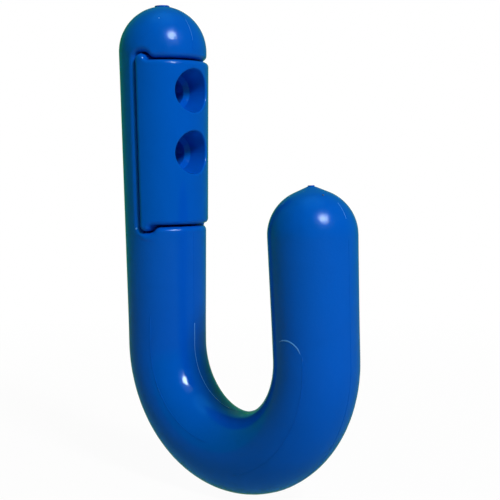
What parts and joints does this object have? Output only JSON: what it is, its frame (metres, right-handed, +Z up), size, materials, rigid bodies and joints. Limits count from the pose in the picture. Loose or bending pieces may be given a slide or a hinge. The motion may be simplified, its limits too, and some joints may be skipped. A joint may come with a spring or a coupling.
{
  "type": "coat hook",
  "caption": "Wall coat hook in glossy blue plastic: a round rod bent into a J with domed ends, and a separate screw block let into the front of its stem.",
  "frame": {"origin": "on the flat wall face, midway between the two screw holes", "axes": "+Z up along the stem, +Y into the wall, -Y out towards the free leg, X across the rod"},
  "size_m": [0.0206, 0.0629, 0.1105],
  "materials": {
    "blue_plastic": "gloss moulded, solid mid blue"
  },
  "bodies": {
    "root": {"hook_body": "blue_plastic", "screw_block": "blue_plastic"}
  },
  "joints": []
}
